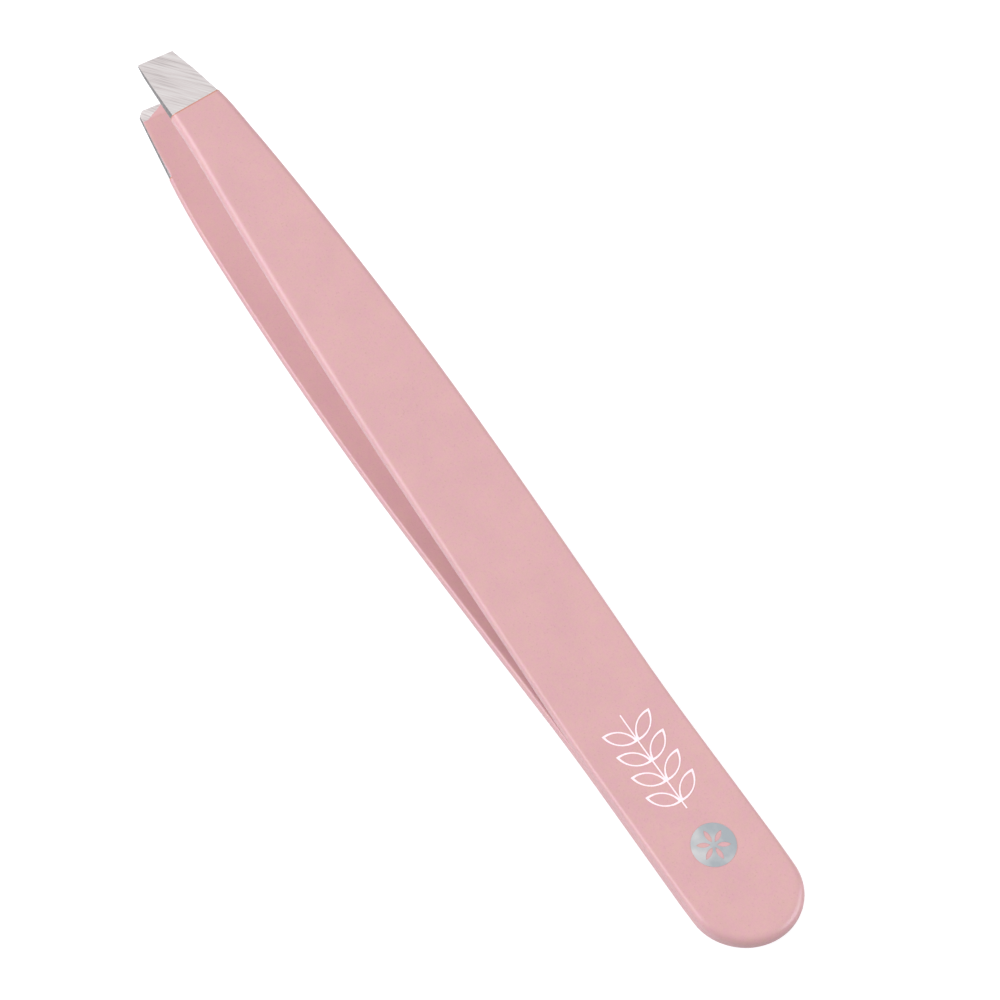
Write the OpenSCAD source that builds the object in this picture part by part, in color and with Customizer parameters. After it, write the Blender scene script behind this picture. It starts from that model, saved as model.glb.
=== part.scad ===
// Slant tweezers: two sprung steel blades spot-welded at the heel, lacquered, with ground slanted tips.
// Millimetres. X runs from heel to tips, Y across the blades, Z in the opening direction.
// The origin is the centre of the bounding box and the two blades mirror each other about z = 0.

/* [Overall] */
// Length from heel end to the longer corner of the tips
overall_length = 95; // [80:0.5:105]
// Thickness of one steel blade
blade_thickness = 1.1; // [0.8:0.05:1.6]
// Thickness of the lacquer coat
coat_thickness = 0.07; // [0.04:0.01:0.12]

/* [Plan outline] */
// Radius of the round heel end, over the lacquer
heel_radius = 4.85; // [4:0.05:6]
// Side taper of the straight part, in degrees
side_taper = 0.395; // [0:0.005:1]
// Distance from the heel at which the sides start to curve in
curve_start = 46; // [35:0.5:60]
// Radius of the curved sides
side_radius = 480; // [300:5:700]
// Slant of the tip ends, in degrees from square
tip_slant = 8; // [0:0.5:30]

/* [Side profile] */
// Length of the flat heel, where the blades lie on each other
flat_heel = 18.5; // [12:0.5:26]
// Angle to which each blade opens
open_angle = 7.857; // [4:0.05:12]
// Radius of the opening bend
bend_radius = 68.8; // [30:0.2:120]
// Angle left at the far end of the long bow
bow_end_angle = 3.55; // [0:0.05:8]
// Radius of the long bow
bow_radius = 722; // [400:2:1200]
// Inward angle of the tips
tip_angle = 11.9; // [4:0.1:20]
// Radius of the inward bend behind the tips
hook_radius = 20.1; // [10:0.1:40]

/* [Ground tips] */
// Length of bare ground steel on the outer face
bare_length = 6.55; // [3:0.05:9]
// Depth of the shoulder where the grinding starts
grind_step = 0.18; // [0:0.02:0.3]
// Half width across the longer corner of the tips, over a coat
tip_half = 1.67; // [1:0.01:3]
// Steel left at the very edge
edge_thickness = 0.22; // [0.1:0.01:0.5]
// Angle through which each arm closes
close_angle = 4.05; // [2:0.05:6]
// Gap left between each grip facet and the middle plane when closed
facet_gap = 0.02; // [0.01:0.005:0.05]

/* [Flexure] */
// Distance from the heel of the line each arm turns about
flex_x = 34; // [28:0.5:42]
// Running clearance round the turned end of each arm
flex_gap = 0.03; // [0.01:0.005:0.08]

/* [Spot welds] */
// Distance of the first weld from the heel
weld_first = 6; // [4:0.5:9]
// Spacing of the welds
weld_pitch = 7.5; // [5:0.5:10]
// Number of welds
weld_count = 2; // [1:1:3]
// Radius of a weld nugget
weld_radius = 1.5; // [1:0.1:2.5]
// Depth of a nugget into each blade
weld_depth = 0.4; // [0.2:0.05:0.6]

/* [Marks] */
// Distance of the foil badge from the heel
badge_x = 9.35; // [7:0.05:12]
// Radius of the foil badge
badge_radius = 1.95; // [1:0.05:3]
// Distance from the heel to the near end of the printed rule
rule_start = 13.2; // [12:0.1:16]
// Length of the printed rule
rule_length = 9.8; // [5:0.1:12]
// Width of the printed rule and of the leaf outlines
line_width = 0.12; // [0.08:0.01:0.3]
// Thickness of foil and ink
mark_thickness = 0.03; // [0.02:0.005:0.06]
// Pairs of leaves along the rule
leaf_pairs = 4; // [2:1:6]

/* [Hidden] */
tc = coat_thickness;
ts = blade_thickness;
face = ts + tc;

// side outline: the curve is tangent to the tapered straight
curve_half = heel_radius / cos(side_taper) - (curve_start - heel_radius) * tan(side_taper);
curve_cx = curve_start - side_radius * sin(side_taper);
curve_cy = curve_half - side_radius * cos(side_taper);
bare_x = overall_length - bare_length;
side_sweep = asin((bare_x - curve_cx) / side_radius) - side_taper;
bare_half = curve_cy + sqrt(pow(side_radius, 2) - pow(bare_x - curve_cx, 2));
// the ground tips narrow in a straight line from there
tip_fall = (bare_half - tip_half) / bare_length;

// inner face of the upper blade as stations of x, z and heading
function turn(p, r, a) =
    let (s = sign(a - p[2]))
    [p[0] + s * r * (sin(a) - sin(p[2])), p[1] - s * r * (cos(a) - cos(p[2])), a];
function sweep(p, r, a, n) = [for (i = [1:n]) turn(p, r, p[2] + (a - p[2]) * i / n)];
bend_from = [flat_heel, 0, 0];
bow_from = turn(bend_from, bend_radius, open_angle);
hook_from = turn(bow_from, bow_radius, bow_end_angle);
tip_from = turn(hook_from, hook_radius, -tip_angle);
tip_run = overall_length + 2 - tip_from[0];
tip_end = [tip_from[0] + tip_run, tip_from[1] - tip_run * tan(tip_angle), -tip_angle];
path = concat([[-2, 0, 0], bend_from], sweep(bend_from, bend_radius, open_angle, 10),
    sweep(bow_from, bow_radius, bow_end_angle, 22), sweep(hook_from, hook_radius, -tip_angle, 12),
    [tip_end]);
function lift(p, d) = [p[0] - d * sin(p[2]), p[1] + d * cos(p[2])];
function rev(v) = [for (i = [len(v) - 1:-1:0]) v[i]];

// flexure line: a point on the bow, half way through the blade
flex_heading = asin(sin(open_angle) - (flex_x - bow_from[0]) / bow_radius);
flex_inner = turn(bow_from, bow_radius, flex_heading);
flex_point = lift(flex_inner, ts / 2);
flex_steel_r = ts / 2;
flex_coat_r = ts / 2 + tc;
flex_socket_r = flex_coat_r + flex_gap;

// ground bevel on the outer face and grip facet on the inner face
facet_rise = flex_point[1] + (overall_length - flex_point[0]) * tan(close_angle)
    - (flex_point[1] - facet_gap) / cos(close_angle);
bare_inner_z = tip_from[1] - (bare_x - tip_from[0]) * tan(tip_angle);
bevel_a = [bare_x, bare_inner_z + ts / cos(tip_angle) - grind_step];
bevel_b = [overall_length, facet_rise + edge_thickness];
bevel_slope = (bevel_b[1] - bevel_a[1]) / (bevel_b[0] - bevel_a[0]);

upper_blade_heel();
lower_blade_heel();
weld_nuggets();
heel_lacquer();
upper_blade_arm();
lower_blade_arm();
upper_arm_lacquer();
lower_arm_lacquer();
foil_badge();
printed_sprig();

// heel end at x = 0 while building, moved so that the box centre is the origin
module place() {
    translate([-overall_length / 2, 0, 0])
        children();
}

// the lower blade is the upper one turned over
module lower() {
    mirror([0, 0, 1])
        children();
}

// side view drawn in x and z, given the full width
module across() {
    translate([0, heel_radius + 1, 0])
        rotate([90, 0, 0])
            linear_extrude(height = 2 * heel_radius + 2)
                children();
}

// plan view drawn in x and y, given the full height of the upper blade
module upright(low, high) {
    translate([0, 0, low])
        linear_extrude(height = high - low)
            children();
}

// outline of a blade from above, drawn in by the given amount
module outline(inset) {
    heel = [for (i = [0:40]) let (a = 90 - side_taper + i * (180 + 2 * side_taper) / 40)
        [heel_radius + (heel_radius - inset) * cos(a), (heel_radius - inset) * sin(a)]];
    side = [for (i = [0:24]) let (a = side_taper + i * side_sweep / 24)
        [curve_cx + (side_radius - inset) * sin(a), curve_cy + (side_radius - inset) * cos(a)]];
    far = overall_length + 1;
    tip = [far, tip_half - tip_fall - inset];
    intersection() {
        polygon(concat(heel, [for (p = side) [p[0], -p[1]]], [[tip[0], -tip[1]], tip], rev(side)));
        slant_side();
    }
}

// everything on the heel side of the slanted end
module slant_side() {
    translate([overall_length, tip_half])
        rotate(-tip_slant)
            translate([-2 * overall_length, -overall_length])
                square([2 * overall_length, 2 * overall_length]);
}

// side profile between two distances from the blade's inner face
module profile(from, to) {
    polygon(concat([for (p = path) lift(p, from)], rev([for (p = path) lift(p, to)])));
}

// side view of everything in front of the flexure line
module arm_side(r) {
    translate(flex_point) {
        rotate(flex_heading)
            translate([0, -20])
                square([80, 40]);
        circle(r = r, $fn = 72);
    }
}

// side view of everything behind the flexure line
module heel_side() {
    difference() {
        translate(flex_point)
            rotate(flex_heading)
                translate([-60, -20])
                    square([60, 40]);
        translate(flex_point)
            circle(r = flex_socket_r, $fn = 72);
    }
}

// side view of what stays when the grip facet is ground
module facet_side() {
    translate(flex_point)
        rotate(close_angle)
            translate([-30, facet_gap - flex_point[1]])
                square([120, 30]);
}

// side view of what stays when the outer bevel is ground
module bevel_side() {
    polygon([
        [-5, -20],
        [overall_length + 5, -20],
        [overall_length + 5, bevel_b[1] + 5 * bevel_slope],
        bevel_a,
        [bare_x, 30],
        [-5, 30]
    ]);
}

// steel of the upper blade's heel end
module heel_steel() {
    difference() {
        intersection() {
            across()
                intersection() {
                    profile(0, ts);
                    heel_side();
                }
            upright(-1, 20)
                outline(tc);
        }
        nuggets();
    }
}

// steel of the upper blade's arm
module arm_steel() {
    intersection() {
        across()
            intersection() {
                profile(0, ts);
                arm_side(flex_steel_r);
                facet_side();
                bevel_side();
            }
        upright(-1, 20)
            outline(tc);
    }
}

// lacquer round the upper blade's heel end, still solid
module heel_envelope() {
    intersection() {
        across()
            intersection() {
                profile(-tc, ts + tc);
                heel_side();
            }
        upright(-1, 20)
            outline(0);
    }
}

// lacquer round the upper blade's arm
module arm_coat() {
    difference() {
        union() {
            intersection() {
                across()
                    intersection() {
                        profile(-tc, ts + tc);
                        arm_side(flex_coat_r);
                        facet_side();
                        translate([-1, -20])
                            square([bare_x + 1, 60]);
                    }
                upright(-1, 20)
                    outline(0);
            }
            intersection() {
                across()
                    intersection() {
                        profile(-tc, 0.3);
                        facet_side();
                        translate([bare_x - 1, -20])
                            square([bare_length + 4, 60]);
                    }
                upright(-1, 20)
                    outline(tc);
            }
        }
        intersection() {
            across()
                intersection() {
                    profile(0, ts);
                    arm_side(flex_steel_r);
                }
            upright(-1, 20)
                outline(tc);
        }
    }
}

// lens-shaped weld nuggets between the blades
module nuggets() {
    ball = (pow(weld_radius, 2) + pow(weld_depth, 2)) / (2 * weld_depth);
    for (i = [0:weld_count - 1])
        translate([weld_first + i * weld_pitch, 0, 0])
            intersection() {
                translate([0, 0, weld_depth - ball])
                    sphere(r = ball, $fn = 120);
                translate([0, 0, ball - weld_depth])
                    sphere(r = ball, $fn = 120);
            }
}

module upper_blade_heel() {
    color([0.78, 0.78, 0.77])
        place()
            heel_steel();
}

module lower_blade_heel() {
    color([0.78, 0.78, 0.77])
        place()
            lower()
                heel_steel();
}

module weld_nuggets() {
    color([0.62, 0.62, 0.64])
        place()
            nuggets();
}

// one coat wraps both blades where they lie together, and parts where they part
module heel_lacquer() {
    color([0.86, 0.67, 0.68])
        place()
            difference() {
                union() {
                    heel_envelope();
                    lower()
                        heel_envelope();
                }
                for (side = [0, 1])
                    mirror([0, 0, side])
                        intersection() {
                            across()
                                profile(0, ts);
                            upright(-1, 20)
                                outline(tc);
                        }
                upright(-0.5, 0.5)
                    intersection() {
                        outline(tc);
                        translate([-1, -10])
                            square([flat_heel + 4.7, 20]);
                    }
            }
}

module upper_blade_arm() {
    color([0.82, 0.81, 0.8])
        place()
            arm_steel();
}

module lower_blade_arm() {
    color([0.82, 0.81, 0.8])
        place()
            lower()
                arm_steel();
}

module upper_arm_lacquer() {
    color([0.87, 0.69, 0.7])
        place()
            arm_coat();
}

module lower_arm_lacquer() {
    color([0.87, 0.69, 0.7])
        place()
            lower()
                arm_coat();
}

// round foil with a six-petal flower left open in it
module foil_badge() {
    petal = 0.62 * badge_radius;
    color([0.8, 0.8, 0.82])
        place()
            translate([badge_x, 0, face])
                linear_extrude(height = mark_thickness)
                    difference() {
                        circle(r = badge_radius, $fn = 96);
                        for (i = [0:5])
                            rotate(60 * i)
                                translate([0.45 * badge_radius, 0])
                                    leaf(petal, 0.36 * petal);
                    }
}

// pointed leaf shape centred on its middle, of given length and width
module leaf(long, wide) {
    bow = (pow(long / 2, 2) + pow(wide / 2, 2)) / wide;
    intersection() {
        translate([0, bow - wide / 2])
            circle(r = bow, $fn = 120);
        translate([0, wide / 2 - bow])
            circle(r = bow, $fn = 120);
    }
}

// printed rule with outlined leaves on both sides, seen from above
module sprig() {
    step = rule_length / (leaf_pairs + 0.6);
    long = 3.1;
    wide = 1.25;
    translate([rule_start, -line_width / 2])
        square([rule_length, line_width]);
    for (i = [0:leaf_pairs - 1])
        for (side = [0, 1])
            translate([rule_start + (i + 0.35) * step, 0])
                mirror([0, side])
                    rotate(52)
                        translate([long / 2 - 0.02, 0])
                            difference() {
                                leaf(long, wide);
                                leaf(long - 5 * line_width, wide - 2 * line_width);
                            }
}

// the ink follows the outer face over the start of the opening bend
module printed_sprig() {
    color([0.97, 0.92, 0.92])
        place()
            intersection() {
                across()
                    profile(face, face + mark_thickness);
                upright(0, 5)
                    sprig();
            }
}
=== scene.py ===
import bmesh, bpy, math
import numpy as np
from mathutils import Matrix, Vector


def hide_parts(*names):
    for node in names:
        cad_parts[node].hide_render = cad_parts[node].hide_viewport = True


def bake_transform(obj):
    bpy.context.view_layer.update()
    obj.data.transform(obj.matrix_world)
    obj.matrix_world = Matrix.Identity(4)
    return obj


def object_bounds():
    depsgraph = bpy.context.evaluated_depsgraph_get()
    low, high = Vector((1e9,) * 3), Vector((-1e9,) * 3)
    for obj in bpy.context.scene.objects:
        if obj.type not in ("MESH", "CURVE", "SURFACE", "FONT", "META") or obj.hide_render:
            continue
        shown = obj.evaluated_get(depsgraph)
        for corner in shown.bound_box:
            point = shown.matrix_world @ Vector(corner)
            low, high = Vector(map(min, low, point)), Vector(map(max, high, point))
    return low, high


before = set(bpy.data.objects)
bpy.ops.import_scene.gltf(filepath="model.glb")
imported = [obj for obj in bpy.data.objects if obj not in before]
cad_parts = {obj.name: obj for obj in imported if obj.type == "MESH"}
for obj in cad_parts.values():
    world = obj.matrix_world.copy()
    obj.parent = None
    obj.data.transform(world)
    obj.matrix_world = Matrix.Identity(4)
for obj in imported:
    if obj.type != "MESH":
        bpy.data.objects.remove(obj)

CAD_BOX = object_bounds()
MM = 0.001

# ------------------------------------------------------------------ driving dimensions, in millimetres
# x runs from the heel end, y across, z up from the plane where the blades meet
LOW, HIGH = [np.array(c, float) / MM for c in CAD_BOX]
LENGTH = round(HIGH[0] - LOW[0], 1)
HEEL_R = (HIGH[1] - LOW[1]) / 2
STEEL = 1.1                             # thickness of a blade
COAT = 0.07                             # thickness of the lacquer
FLAT_HEEL = 18.5                        # where the blades stop lying on each other
OPEN_DEG, BEND_R = 7.857, 68.8          # opening bend: angle reached, radius
BOW_END_DEG, BOW_R = 3.55, 722.0        # long bow: angle left at its end, radius
TIP_DEG, HOOK_R = 11.9, 20.1            # inward bend behind the tips
TAPER_DEG = 0.395                       # side taper of the straight part
CURVE_X, SIDE_R = 46.0, 480.0           # where the sides start to curve in, and their radius
SLANT_DEG = 8.0                         # slant of the tip ends
BARE = 6.55                             # length of bare ground steel
GRIND_STEP = 0.18                       # depth of the shoulder where the grinding starts
TIP_HALF = 1.67                         # half width at the tip, over a coat
EDGE = 0.22                             # steel left at the very edge
FLEX_X, FLEX_Z = 33.93, 2.006           # the line that an arm turns about
CLOSE_DEG, FACET_GAP = 4.05, 0.02       # closing angle, and the gap left then to the middle plane
CROTCH = 22.2                           # where the coat on the inner faces starts
FILM_X, FILM_LEAN = 94.32, 0.39         # end of the lacquer film on the grip facet, and how askew it is
MEET_GAP = 0.003                        # the skins stay this far from the plane where the blades meet

# edges: radii of the outer edges over the coat, soft round the heel end, slim behind it, fuller to the tips
EDGE_X = (1.5, 4, 7, 20, 34, 50, 75, 89)
EDGE_R = (0.95, 0.68, 0.4, 0.36, 0.38, 0.5, 0.62, 0.6)
INNER_CRISP, INNER_SOFT = 0.03, 0.19    # radii of the inner edges, at the heel and the tip, and between them
GROUND_R = 0.02                         # radius of the edges left by the grinding wheel
NIP = {1: (0.12, 0.08), -1: (0.5, 0.45)}    # clipped tip corner, along x and y: 1 upper blade, -1 lower blade
FULLER = 0.22                           # how much fuller the -y side is beside the ground tip
ASKEW = (0.075, 0.006)                  # how much fuller the heel end is on the -y side: linear and square part

HALF = LENGTH / 2
BARE_X = LENGTH - BARE


def rad(a):
    return math.radians(a)


def smooth(a, b, x):
    t = min(max((x - a) / (b - a), 0.0), 1.0)
    return t * t * (3 - 2 * t)


def mix(a, b, t):
    return a + (b - a) * t


# ------------------------------------------------------------------ side profile: the inner face of a blade
def arc(p, r, a):
    """End of an arc from p = (x, z, heading) to heading a."""
    s = 1 if a > p[2] else -1
    return (p[0] + s * r * (math.sin(rad(a)) - math.sin(rad(p[2]))),
            p[1] - s * r * (math.cos(rad(a)) - math.cos(rad(p[2]))), a)


P_BEND = (FLAT_HEEL, 0.0, 0.0)
P_BOW = arc(P_BEND, BEND_R, OPEN_DEG)
P_HOOK = arc(P_BOW, BOW_R, BOW_END_DEG)
P_TIP = arc(P_HOOK, HOOK_R, -TIP_DEG)


def inner(x):
    """Height and heading (degrees) of the inner steel face at x."""
    if x <= P_BEND[0]:
        return 0.0, 0.0
    bends = ((P_BEND, BEND_R, P_BOW, 1), (P_BOW, BOW_R, P_HOOK, -1), (P_HOOK, HOOK_R, P_TIP, -1))
    for p, r, end, s in bends:
        if x <= end[0]:
            a = math.degrees(math.asin(math.sin(rad(p[2])) + s * (x - p[0]) / r))
            return p[1] - s * r * (math.cos(rad(a)) - math.cos(rad(p[2]))), a
    return P_TIP[1] - (x - P_TIP[0]) * math.tan(rad(TIP_DEG)), -TIP_DEG


def lifted(x, d):
    """Height of the surface d outside the inner steel face."""
    z, a = inner(x)
    return z + d / math.cos(rad(a))


def facet(x):
    """Height of the ground grip facet."""
    return (FLEX_Z + (x - FLEX_X) * math.tan(rad(CLOSE_DEG))
            - (FLEX_Z - FACET_GAP) / math.cos(rad(CLOSE_DEG)))


BEVEL_A = (BARE_X, lifted(BARE_X, STEEL) - GRIND_STEP)
BEVEL_B = (LENGTH, facet(LENGTH) + EDGE)


def bevel(x):
    """Height of the ground outer bevel."""
    return BEVEL_A[1] + (x - BEVEL_A[0]) * (BEVEL_B[1] - BEVEL_A[1]) / (BEVEL_B[0] - BEVEL_A[0])


# the grip facet starts where it meets the inner face
FACET_X = next(x for x in np.arange(LENGTH - 3, LENGTH, 0.005) if inner(x)[0] <= facet(x))

# ------------------------------------------------------------------ plan outline
SIN_T, COS_T, TAN_T = math.sin(rad(TAPER_DEG)), math.cos(rad(TAPER_DEG)), math.tan(rad(TAPER_DEG))
CURVE_Y = HEEL_R / COS_T - (CURVE_X - HEEL_R) * TAN_T
CX, CY = CURVE_X - SIDE_R * SIN_T, CURVE_Y - SIDE_R * COS_T


def fuller(x):
    """How much further the -y side stands out next to the ground tip."""
    return FULLER * smooth(83, 88.5, x) * (1 - 0.5 * smooth(91.5, 95, x))


def askew(x, y):
    """The filed heel end is a little fuller on the -y side: shift along x."""
    return (ASKEW[0] * y - ASKEW[1] * y * y) * (1 - smooth(4, 12, x))


def half_width(x):
    """Half width over the coat, without the round heel end."""
    if x < CURVE_X:
        return HEEL_R / COS_T - (x - HEEL_R) * TAN_T
    if x > BARE_X:
        return mix(half_width(BARE_X), TIP_HALF, (x - BARE_X) / BARE)
    return CY + math.sqrt(SIDE_R ** 2 - (x - CX) ** 2)


# ------------------------------------------------------------------ stations along the blade
# each is (x, half width over the coat, outward normal of the +y side, share of the tip's slant, ground or not)
N_END = 18                              # stations round the heel end
SEAM_X = BARE_X - 0.2                   # keeps the rows even just behind the ground steel
SHOULDER_X = BARE_X + 0.02              # foot of the shoulder
KEY_XS = [CROTCH, SEAM_X, BARE_X, SHOULDER_X, FACET_X, LENGTH - 0.5, LENGTH - 0.15, LENGTH - 0.04, LENGTH]
KEY_CLEAR = 0.08                        # no other station comes nearer to one of these
RUNS = ((5.0, FLAT_HEEL, 0.9), (FLAT_HEEL, 28, 0.5), (28, 56, 0.8), (56, 81, 1.0),
        (81, BARE_X, 0.3), (BARE_X + 0.2, LENGTH - 0.3, 0.3))

stations = []
for i in range(N_END):
    f = rad((90 - TAPER_DEG) * (i + 0.5) / (N_END + 0.5))
    outward = (-math.cos(f), math.sin(f))
    stations.append((HEEL_R - HEEL_R * math.cos(f), HEEL_R * math.sin(f), outward, 0.0, False))
spread = np.concatenate([np.arange(*run) for run in RUNS])
for x in sorted([float(x) for x in spread if min(abs(x - s) for s in KEY_XS) > KEY_CLEAR] + KEY_XS):
    w = half_width(x)
    g = (half_width(x + 0.01) - half_width(x - 0.01)) / 0.02
    k = math.hypot(g, 1)
    stations.append((x, w, (-g / k, 1 / k), smooth(BARE_X, LENGTH, x), x > BARE_X + 0.001))
XS = [s[0] for s in stations]
I_CROTCH, I_BARE, I_FACET = (XS.index(x) for x in (CROTCH, BARE_X, FACET_X))
N_COL, N_OUT, N_IN = 10, 10, 6          # columns across a face, steps round an outer and an inner edge
N_PROF = N_OUT + N_IN + 2               # points down one side
LOOP = N_COL + N_PROF + (N_COL - 1) + (N_PROF - 1)
BOTTOM = set(range(N_COL + N_PROF - 1, N_COL + N_PROF + N_COL - 1))     # edges of the inner face in a loop


def section(x, coat, ground):
    """Half profile from the top edge round to the bottom edge: a list of (inset from the outline, z)."""
    grow = COAT if coat else 0.0
    top = lifted(x, STEEL + grow)
    low = max(lifted(x, -grow), MEET_GAP) if coat else max(inner(x)[0], 0.0)
    ro = float(np.interp(x, EDGE_X, EDGE_R)) - COAT + grow
    softer = smooth(FLAT_HEEL, 30, x)
    ri = mix(INNER_CRISP, INNER_SOFT, softer) + grow * mix(0.2, 1, softer)
    if not coat:
        ri = mix(ri, INNER_CRISP, smooth(86, 92, x))
        if x >= FACET_X:
            low = facet(x)
    cut = bevel(x) if ground and not coat else top
    ri = min(ri, (cut - low) * 0.3)
    pts = []
    # the grinding cuts the rounded edge off part of the way; where nothing is left of it, the edge is crisp
    start = math.acos(min(1.0, max(0.0, (cut - top + ro) / ro)))
    if start < rad(80):
        for i in range(N_OUT + 1):
            a = start + (math.pi / 2 - start) * i / N_OUT
            pts.append((ro - ro * math.sin(a), top - ro + ro * math.cos(a)))
    else:
        rt = GROUND_R
        for i in range(N_OUT + 1):
            a = math.pi / 2 * i / N_OUT
            pts.append((rt - rt * math.sin(a), cut - rt + rt * math.cos(a)))
    for i in range(N_IN + 1):
        a = math.pi / 2 + math.pi / 2 * i / N_IN
        pts.append((ri - ri * math.sin(a), low + ri + ri * math.cos(a)))
    off = 0.0 if coat else COAT
    return [(d + off, z) for d, z in pts]


# places of the columns across a face, as shares of its width
COLUMNS = [0.0] + [mix(0.02, 0.98, j / (N_COL - 2)) for j in range(N_COL - 1)] + [1.0]


def ring(i, coat, side):
    """The closed loop of one station in the row frame. side is 1 for the upper blade and -1 for the lower."""
    x0, w, (nx, ny), slant, ground = stations[i]
    skew = math.tan(rad(SLANT_DEG)) * slant
    nip_x, nip_y = NIP[side]
    nip = nip_y * max(0.0, 1 - (LENGTH - x0) / nip_x)

    def point(y_side, k):
        d = section(x0, coat, ground)[k][0]
        py = (w - ny * d - nip) if y_side > 0 else -(w - ny * d + fuller(x0))
        px = x0 - nx * d - skew * (TIP_HALF - COAT - py)
        px += askew(px, py)
        return px, py, section(min(px, LENGTH), coat, ground)[k][1]

    sides = [[point(y, k) for k in range(N_PROF)] for y in (1, -1)]

    def across(k, ts):
        a, b = sides[1][k], sides[0][k]
        return [tuple(mix(a[c], b[c], t) for c in range(3)) for t in ts]

    loop = across(0, COLUMNS[:-1]) + sides[0] + across(N_PROF - 1, COLUMNS[-2:0:-1]) + sides[1][:0:-1]
    return [((px - HALF) * MM, py * MM, side * z * MM) for px, py, z in loop]


def end_faces(base):
    """Closes a loop: one face along the top row, quads down both sides, one face along the bottom row."""
    plus = [N_COL + k for k in range(N_PROF)]
    minus = [0] + [LOOP - k for k in range(1, N_PROF)]
    faces = [list(range(0, N_COL + 1)) + [plus[1], minus[1]]]
    for k in range(1, N_PROF - 2):
        faces.append([plus[k], plus[k + 1], minus[k + 1], minus[k]])
    faces.append([plus[-2]] + list(range(plus[-1], minus[-1] + 1)) + [minus[-2]])
    return [tuple(base + v for v in f) for f in faces]


def strip(base):
    """Quads between the loop that starts at base and the next one, one for each edge of the loop."""
    for k in range(LOOP):
        a, b = base + k, base + (k + 1) % LOOP
        yield k, (a, b, b + LOOP, a + LOOP)


def make_mesh(name, verts, faces, marks, sharp):
    """Mesh object with its rest position and a wear mask kept as point attributes for the shaders.

    Edges sharper than sharp, in degrees, are creased in the shading.
    """
    mesh = bpy.data.meshes.new(name)
    mesh.from_pydata(verts, [], faces)
    for label, kind, values in (("rest", "FLOAT_VECTOR", verts), ("wear", "FLOAT", marks)):
        layer = mesh.attributes.new(label, kind, "POINT")
        layer.data.foreach_set("vector" if kind == "FLOAT_VECTOR" else "value", np.array(values, float).ravel())
    mesh.update()
    bm = bmesh.new()
    bm.from_mesh(mesh)
    loose = [v for v in bm.verts if not v.link_faces]
    bmesh.ops.delete(bm, geom=loose, context="VERTS")
    bmesh.ops.recalc_face_normals(bm, faces=bm.faces)
    bm.to_mesh(mesh)
    bm.free()
    mesh.shade_smooth()
    mesh.set_sharp_from_angle(angle=rad(sharp))
    obj = bpy.data.objects.new(name, mesh)
    bpy.context.scene.collection.objects.link(obj)
    return obj


def blade(name, side):
    """One stamped steel strip, closed, from the heel to the tip.

    wear is 1 on the ground bevel, 2 on the ground steel's inner face and 0 elsewhere.
    """
    verts, faces, marks = [], [], []
    for i in range(len(stations)):
        verts += ring(i, False, side)
        ground = 1.0 if stations[i][4] else 0.0
        marks += [ground if k <= N_COL else 2 * ground if k in BOTTOM or k - 1 in BOTTOM else 0.0
                  for k in range(LOOP)]
    for i in range(len(stations) - 1):
        faces += [quad for _, quad in strip(i * LOOP)]
    faces += end_faces(0) + end_faces((len(stations) - 1) * LOOP)
    return make_mesh(name, verts, faces, marks, sharp=24)


def coat(name, side):
    """The lacquer skin of one blade: outer and inner sheet, joined along their edges.

    wear is 1 at the edge where the grinding cut it.
    """
    n = I_FACET + 1
    verts, marks = [], []
    for c in (True, False):
        for i in range(n):
            verts += ring(i, c, side)
            marks += [1.0 if i == I_BARE and k not in BOTTOM else 0.0 for k in range(LOOP)]
    shift = n * LOOP
    sheet = []
    for i in range(n - 1):
        # the inner face is coated from the crotch to the grip facet, the rest from the heel to the ground steel
        sheet += [quad for k, quad in strip(i * LOOP) if (i >= I_CROTCH if k in BOTTOM else i < I_BARE)]
    sheet += end_faces(0)[:-1]
    faces = sheet + [tuple(v + shift for v in reversed(f)) for f in sheet]
    used = {}
    for f in sheet:
        for u, v in zip(f, f[1:] + f[:1]):
            used.setdefault((min(u, v), max(u, v)), []).append((u, v))
    for hits in used.values():
        if len(hits) == 1:
            u, v = hits[0]
            faces.append((v, u, u + shift, v + shift))
    return make_mesh(name, verts, faces, marks, sharp=40)


# ------------------------------------------------------------------ materials
# sockets of a colour Mix node
MIX_FACTOR, MIX_A, MIX_B, MIX_RESULT = 0, 6, 7, 2


def material(name):
    """New material with a Principled shader: the material, its node tree and the shader."""
    m = bpy.data.materials.new(name)
    m.use_nodes = True
    nt = m.node_tree
    for n in list(nt.nodes):
        nt.nodes.remove(n)
    out = nt.nodes.new("ShaderNodeOutputMaterial")
    shader = nt.nodes.new("ShaderNodeBsdfPrincipled")
    nt.links.new(shader.outputs[0], out.inputs[0])
    return m, nt, shader


def node(nt, kind, **values):
    """New node; each value goes to the input of that name, or else to the node's setting."""
    n = nt.nodes.new(kind)
    for k, v in values.items():
        if k in n.inputs:
            n.inputs[k].default_value = v
        else:
            setattr(n, k, v)
    return n


def link(nt, a, out, b, inp):
    nt.links.new(a.outputs[out], b.inputs[inp])


def lin(c):
    """sRGB 0-255 to linear colour."""
    v = [x / 255 for x in c]
    return tuple(x / 12.92 if x <= 0.04045 else ((x + 0.055) / 1.055) ** 2.4 for x in v) + (1.0,)


def attribute(nt, name):
    """A value kept on the mesh, so that the pattern stays with the metal when an arm bends."""
    return node(nt, "ShaderNodeAttribute", attribute_name=name)


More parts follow.
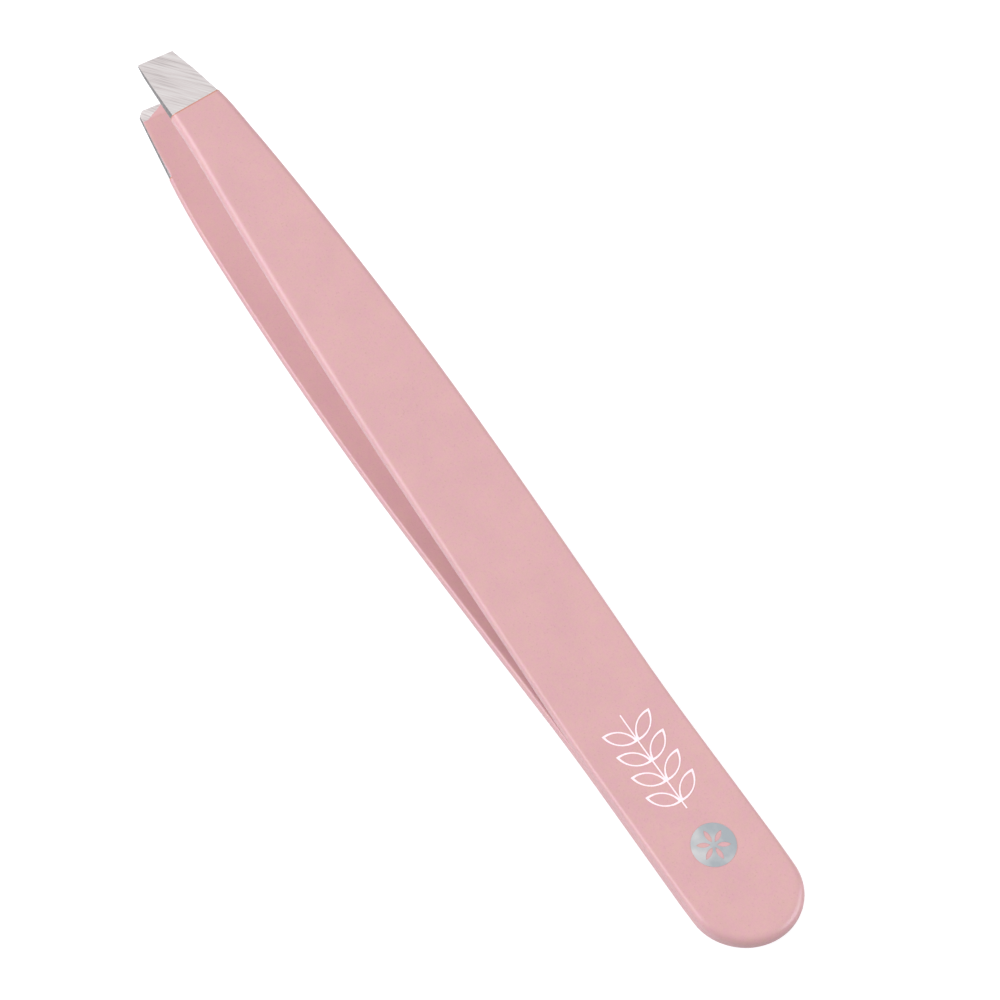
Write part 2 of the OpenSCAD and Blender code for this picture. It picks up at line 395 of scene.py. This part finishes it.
def coords(nt, sticky=False, rotate=0.0, stretch=(1, 1, 1)):
    """Object coordinates, or the kept rest position, turned about z and then stretched."""
    if sticky:
        c, out = attribute(nt, "rest"), "Vector"
    else:
        c, out = nt.nodes.new("ShaderNodeTexCoord"), "Object"
    turn = nt.nodes.new("ShaderNodeMapping")
    turn.inputs["Rotation"].default_value = (0, 0, rad(rotate))
    link(nt, c, out, turn, "Vector")
    size = nt.nodes.new("ShaderNodeMapping")
    size.inputs["Scale"].default_value = stretch
    link(nt, turn, "Vector", size, "Vector")
    return size


def noise(nt, vec, scale, detail=2.0, rough=0.5):
    n = node(nt, "ShaderNodeTexNoise", Scale=scale, Detail=detail, Roughness=rough)
    link(nt, vec, "Vector", n, "Vector")
    return n


def ramp(nt, src, out, stops):
    """Colour ramp over a list of (position, colour)."""
    r = nt.nodes.new("ShaderNodeValToRGB")
    e = r.color_ramp.elements
    while len(e) < len(stops):
        e.new(0.5)
    for s, (p, c) in zip(e, stops):
        s.position = p
        s.color = c
    link(nt, src, out, r, "Fac")
    return r


def grey(v):
    return (v, v, v, 1.0)


def mixed(nt, fac, a, b, mode="MIX"):
    """Mix of two colour outputs or colours; fac is an output pair or a number."""
    m = node(nt, "ShaderNodeMix", data_type="RGBA", blend_type=mode)
    for idx, val in ((MIX_FACTOR, fac), (MIX_A, a), (MIX_B, b)):
        if isinstance(val, tuple) and hasattr(val[0], "outputs"):
            nt.links.new(val[0].outputs[val[1]], m.inputs[idx])
        else:
            m.inputs[idx].default_value = val
    return m


def bump(nt, src, out, shader, strength, distance):
    b = node(nt, "ShaderNodeBump", Strength=strength, Distance=distance)
    link(nt, src, out, b, "Height")
    link(nt, b, "Normal", shader, "Normal")


def lacquer_material():
    m, nt, s = material("pink_lacquer")
    vec = coords(nt, sticky=True)
    broad = noise(nt, vec, scale=300)
    fine = noise(nt, vec, scale=6500, rough=0.6)
    middle = noise(nt, vec, scale=2100, rough=0.6)
    tone = ramp(nt, broad, "Fac", [(0.3, lin((202, 156, 155))), (0.7, lin((206, 160, 157)))])
    mottle = ramp(nt, middle, "Fac", [(0.35, lin((252, 248, 255))), (0.65, lin((250, 254, 246)))])
    speck = ramp(nt, fine, "Fac", [(0.35, grey(0.96)), (0.65, grey(1.0))])
    tone = mixed(nt, 1.0, (tone, "Color"), (mottle, "Color"), "MULTIPLY")
    colour = mixed(nt, 1.0, (tone, MIX_RESULT), (speck, "Color"), "MULTIPLY")
    # the coat thins to a brown line where the grinding wheel cut through it
    wear = attribute(nt, "wear")
    line = ramp(nt, wear, "Fac", [(0.2, grey(0.0)), (0.7, grey(0.9))])
    edge = mixed(nt, (line, "Color"), (colour, MIX_RESULT), lin((184, 118, 92)))
    link(nt, edge, MIX_RESULT, s, "Base Color")
    rough = ramp(nt, fine, "Fac", [(0.3, grey(0.27)), (0.7, grey(0.33))])
    link(nt, rough, "Color", s, "Roughness")
    s.inputs["Specular IOR Level"].default_value = 0.5
    peel = noise(nt, vec, scale=2400)
    bump(nt, peel, "Fac", s, strength=0.1, distance=0.04 * MM)
    return m


def steel_material():
    m, nt, s = material("ground_steel")
    # grinding streaks: noise drawn out along the wheel's path, which crosses the blade askew
    fine = noise(nt, coords(nt, sticky=True, rotate=-33, stretch=(260, 7600, 0)), scale=1.0, rough=0.6)
    coarse = noise(nt, coords(nt, sticky=True, rotate=-36, stretch=(200, 3000, 0)), scale=1.0)
    streak = mixed(nt, 0.5, (fine, "Fac"), (coarse, "Fac"))
    tone = ramp(nt, streak, MIX_RESULT, [
        (0.32, lin((202, 193, 191))), (0.47, lin((236, 228, 226))), (0.66, lin((252, 248, 246)))])
    # the stamped sides stay dull, with a sheared grain, and are painted darker than the ground faces as shade
    shear = noise(nt, coords(nt, sticky=True, stretch=(4200, 4200, 420)), scale=1.0, detail=3, rough=0.6)
    side = ramp(nt, shear, "Fac", [(0.35, lin((130, 126, 123))), (0.65, lin((158, 154, 150)))])
    wear = attribute(nt, "wear")
    colour = mixed(nt, (wear, "Fac"), (side, "Color"), (tone, "Color"))
    # on the inner face the lacquer thins out askew over the start of the grip facet
    reach = node(nt, "ShaderNodeVectorMath", operation="DOT_PRODUCT")
    reach.inputs[1].default_value = (1.0, FILM_LEAN, 0.0)
    link(nt, attribute(nt, "rest"), "Vector", reach, 0)
    wander = noise(nt, coords(nt, sticky=True), scale=5000, detail=1)
    ragged = node(nt, "ShaderNodeMath", operation="MULTIPLY_ADD")
    ragged.inputs[1].default_value = 0.2 * MM
    link(nt, wander, "Fac", ragged, 0)
    link(nt, reach, "Value", ragged, 2)
    edge = (FILM_X - HALF) * MM
    fade = node(nt, "ShaderNodeMapRange", **{
        "From Min": edge + 0.05 * MM, "From Max": edge + 0.15 * MM, "To Min": 1.0, "To Max": 0.0})
    link(nt, ragged, "Value", fade, "Value")
    inside = node(nt, "ShaderNodeMath", operation="GREATER_THAN")
    inside.inputs[1].default_value = 1.5
    link(nt, wear, "Fac", inside, 0)
    film = node(nt, "ShaderNodeMath", operation="MULTIPLY")
    link(nt, fade, "Result", film, 0)
    link(nt, inside, "Value", film, 1)
    colour = mixed(nt, (film, "Value"), (colour, MIX_RESULT), lin((204, 158, 156)))
    bare = node(nt, "ShaderNodeMath", operation="SUBTRACT")
    bare.inputs[0].default_value = 1.0
    link(nt, film, "Value", bare, 1)
    link(nt, colour, MIX_RESULT, s, "Base Color")
    link(nt, bare, "Value", s, "Metallic")
    rough = ramp(nt, streak, MIX_RESULT, [(0.3, grey(0.52)), (0.7, grey(0.38))])
    link(nt, rough, "Color", s, "Roughness")
    bump(nt, streak, MIX_RESULT, s, strength=0.35, distance=0.05 * MM)
    return m


def foil_material():
    m, nt, s = material("silver_foil")
    vec = coords(nt)
    cloud = noise(nt, vec, scale=420, detail=3)
    grain = noise(nt, vec, scale=7000)
    tone = ramp(nt, cloud, "Fac", [(0.35, lin((178, 185, 189))), (0.65, lin((221, 220, 219)))])
    link(nt, tone, "Color", s, "Base Color")
    s.inputs["Metallic"].default_value = 0.85
    rough = ramp(nt, grain, "Fac", [(0.3, grey(0.34)), (0.7, grey(0.46))])
    link(nt, rough, "Color", s, "Roughness")
    bump(nt, grain, "Fac", s, strength=0.15, distance=0.01 * MM)
    return m


def ink_material():
    m, nt, s = material("pale_ink")
    grain = noise(nt, coords(nt), scale=6000)
    tone = ramp(nt, grain, "Fac", [(0.3, lin((236, 214, 215))), (0.7, lin((244, 228, 228)))])
    link(nt, tone, "Color", s, "Base Color")
    rough = ramp(nt, grain, "Fac", [(0.3, grey(0.45)), (0.7, grey(0.6))])
    link(nt, rough, "Color", s, "Roughness")
    bump(nt, grain, "Fac", s, strength=0.1, distance=0.01 * MM)
    return m


def weld_material():
    m, nt, s = material("fused_steel")
    cloud = noise(nt, coords(nt), scale=1500, detail=3, rough=0.6)
    tone = ramp(nt, cloud, "Fac", [(0.3, lin((120, 118, 126))), (0.7, lin((168, 160, 150)))])
    link(nt, tone, "Color", s, "Base Color")
    s.inputs["Metallic"].default_value = 1.0
    rough = ramp(nt, cloud, "Fac", [(0.3, grey(0.45)), (0.7, grey(0.65))])
    link(nt, rough, "Color", s, "Roughness")
    bump(nt, cloud, "Fac", s, strength=0.3, distance=0.05 * MM)
    return m


def floor_material(name, tone, glow, painted_shade_x=None):
    """A matt sheet that can glow. The last argument is the stretch of x over which a painted shadow fades out:
    the colour lightens from a quarter to full.
    """
    m, nt, s = material(name)
    cloud = noise(nt, coords(nt), scale=60)
    shade = ramp(nt, cloud, "Fac", [(0.3, grey(tone)), (0.7, grey(tone + 0.01))])
    if painted_shade_x is None:
        link(nt, shade, "Color", s, "Base Color")
    else:
        # painted shadow: the colour falls to a quarter towards lower x, over the given stretch
        apart = node(nt, "ShaderNodeSeparateXYZ")
        link(nt, coords(nt), "Vector", apart, "Vector")
        edge = node(nt, "ShaderNodeMapRange", **{
            "From Min": painted_shade_x[0], "From Max": painted_shade_x[1], "To Min": 0.25, "To Max": 1.0})
        link(nt, apart, "X", edge, "Value")
        shaded_tone = mixed(nt, 1.0, (shade, "Color"), (edge, "Result"), "MULTIPLY")
        link(nt, shaded_tone, MIX_RESULT, s, "Base Color")
    s.inputs["Roughness"].default_value = 0.9
    s.inputs["Specular IOR Level"].default_value = 0.1
    s.inputs["Emission Color"].default_value = (1.0, 1.0, 1.0, 1.0)
    s.inputs["Emission Strength"].default_value = glow
    return m


LACQUER, GROUND, FOIL, INK, WELD = (
    lacquer_material(), steel_material(), foil_material(), ink_material(), weld_material())

# ------------------------------------------------------------------ the pieces
for word, side in (("upper", 1), ("lower", -1)):
    steel = blade(word + "_blade", side)
    steel.data.materials.append(GROUND)
    skin = coat(word + "_lacquer", side)
    skin.data.materials.append(LACQUER)
    for piece, slot, nodes in (
            (steel, "blade_steel", (word + "_blade_heel", word + "_blade_arm")),
            (skin, "lacquer", ("heel_lacquer", word + "_arm_lacquer"))):
        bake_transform(piece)
        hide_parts(*nodes)

# the CAD's own badge, print and welds stay, with better materials
for name, mat in (("foil_badge", FOIL), ("printed_sprig", INK), ("weld_nuggets", WELD)):
    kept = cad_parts[name]
    kept.data.materials.clear()
    kept.data.materials.append(mat)

# ------------------------------------------------------------------ floor, light and camera
# the tool lies on its heel end and on the belly of the lower arm, so the floor is tilted in the row frame
HEEL_REST_X = 0.6
BELLY_X = P_HOOK[0] + HOOK_R * math.sin(rad(BOW_END_DEG))
BELLY_Z = lifted(BELLY_X, STEEL + COAT)
TILT = math.atan2(BELLY_Z - (STEEL + COAT), BELLY_X - HEEL_REST_X)
FLOOR_DROP, BOUNCE_DROP = 0.03, 0.53    # how far under the tool the seen floor and the bounce sheet lie
PAINTED_SHADE_X = ((-7 - BELLY_X) * MM, (3 - BELLY_X) * MM)    # painted shadow: the bounce sheet is darkened over this stretch, standing in for the shade under the heel end, so that little light comes up onto it from below


def floor_sheet(name, drop, mat):
    """A 12 m sheet under the tool, drop millimetres below it."""
    bpy.ops.mesh.primitive_grid_add(x_subdivisions=8, y_subdivisions=8, size=12.0)
    sheet = bpy.context.object
    sheet.name = name
    sheet.rotation_euler = (0, TILT, 0)
    sheet.location = ((BELLY_X - HALF) * MM, 0, -(BELLY_Z + drop) * MM)
    sheet.data.materials.append(mat)
    return sheet


# the pale lit sheet is what is seen; a duller one under it sets how much light comes back up from below, with a
# painted shadow towards the heel end
lit = floor_sheet("studio_floor", FLOOR_DROP, floor_material("lit_sheet", tone=0.37, glow=0.75))
lit.visible_diffuse = lit.visible_glossy = lit.visible_shadow = False
dull = floor_sheet("floor_bounce", BOUNCE_DROP, floor_material("dull_sheet_painted_shade", tone=0.7, glow=0.0, painted_shade_x=PAINTED_SHADE_X))
dull.visible_camera = False

# the viewpoint: direction of sight, place, roll and lens
VIEW = Vector((0.28794, -0.27733, -0.91661)).normalized()
EYE = Vector((-0.12338, 0.11346, 0.38512))
ROLL_DEG = -10.230
LENS, SENSOR = 176.5, 36
LEVEL_UP = (Vector((0, 0, 1)) - VIEW * VIEW.z).normalized()
UP = LEVEL_UP * math.cos(rad(ROLL_DEG)) + VIEW.cross(LEVEL_UP) * math.sin(rad(ROLL_DEG))
RIGHT = VIEW.cross(UP)
cam_data = bpy.data.cameras.new("camera")
cam_data.sensor_width = SENSOR
cam_data.lens = LENS
cam_data.clip_start = 0.01
cam_data.clip_end = 20
cam = bpy.data.objects.new("camera", cam_data)
bpy.context.scene.collection.objects.link(cam)
cam.matrix_world = Matrix((
    (RIGHT.x, UP.x, -VIEW.x, EYE.x), (RIGHT.y, UP.y, -VIEW.y, EYE.y),
    (RIGHT.z, UP.z, -VIEW.z, EYE.z), (0, 0, 0, 1)))
bpy.context.scene.camera = cam

LILAC = (0.84, 0.87, 1.0)


def softbox(name, azimuth, elevation, reach, size, radiance):
    """A soft lilac light seen from the object in the given direction, in degrees, with a given brightness."""
    away = Vector((math.cos(rad(elevation)) * math.cos(rad(azimuth)),
                   math.cos(rad(elevation)) * math.sin(rad(azimuth)), math.sin(rad(elevation))))
    data = bpy.data.lights.new(name, "AREA")
    data.shape = "RECTANGLE"
    data.size, data.size_y = size
    data.energy = radiance * size[0] * size[1] * math.pi
    data.color = LILAC
    lamp = bpy.data.objects.new(name, data)
    bpy.context.scene.collection.objects.link(lamp)
    lamp.location = away * reach
    lamp.rotation_euler = (-away).to_track_quat("-Z", "Y").to_euler()


softbox("left_softbox", azimuth=60, elevation=30, reach=0.85, size=(1.0, 0.6), radiance=4.5)
softbox("right_softbox", azimuth=-135, elevation=17, reach=0.85, size=(0.75, 0.5), radiance=4.8)

# the studio is palest overhead and greyer towards the horizon
world = bpy.data.worlds.new("studio")
bpy.context.scene.world = world
world.use_nodes = True
wn = world.node_tree
surround = wn.nodes["Background"]
where = wn.nodes.new("ShaderNodeTexCoord")
split = wn.nodes.new("ShaderNodeSeparateXYZ")
link(wn, where, "Generated", split, "Vector")
sky = ramp(wn, split, "Z", [(0.0, grey(0.25)), (0.6, grey(0.84))])
link(wn, sky, "Color", surround, "Color")
surround.inputs["Strength"].default_value = 1.0

view = bpy.context.scene.view_settings
view.view_transform = "Standard"
view.look = "None"
view.exposure = 0.0
view.gamma = 1.0
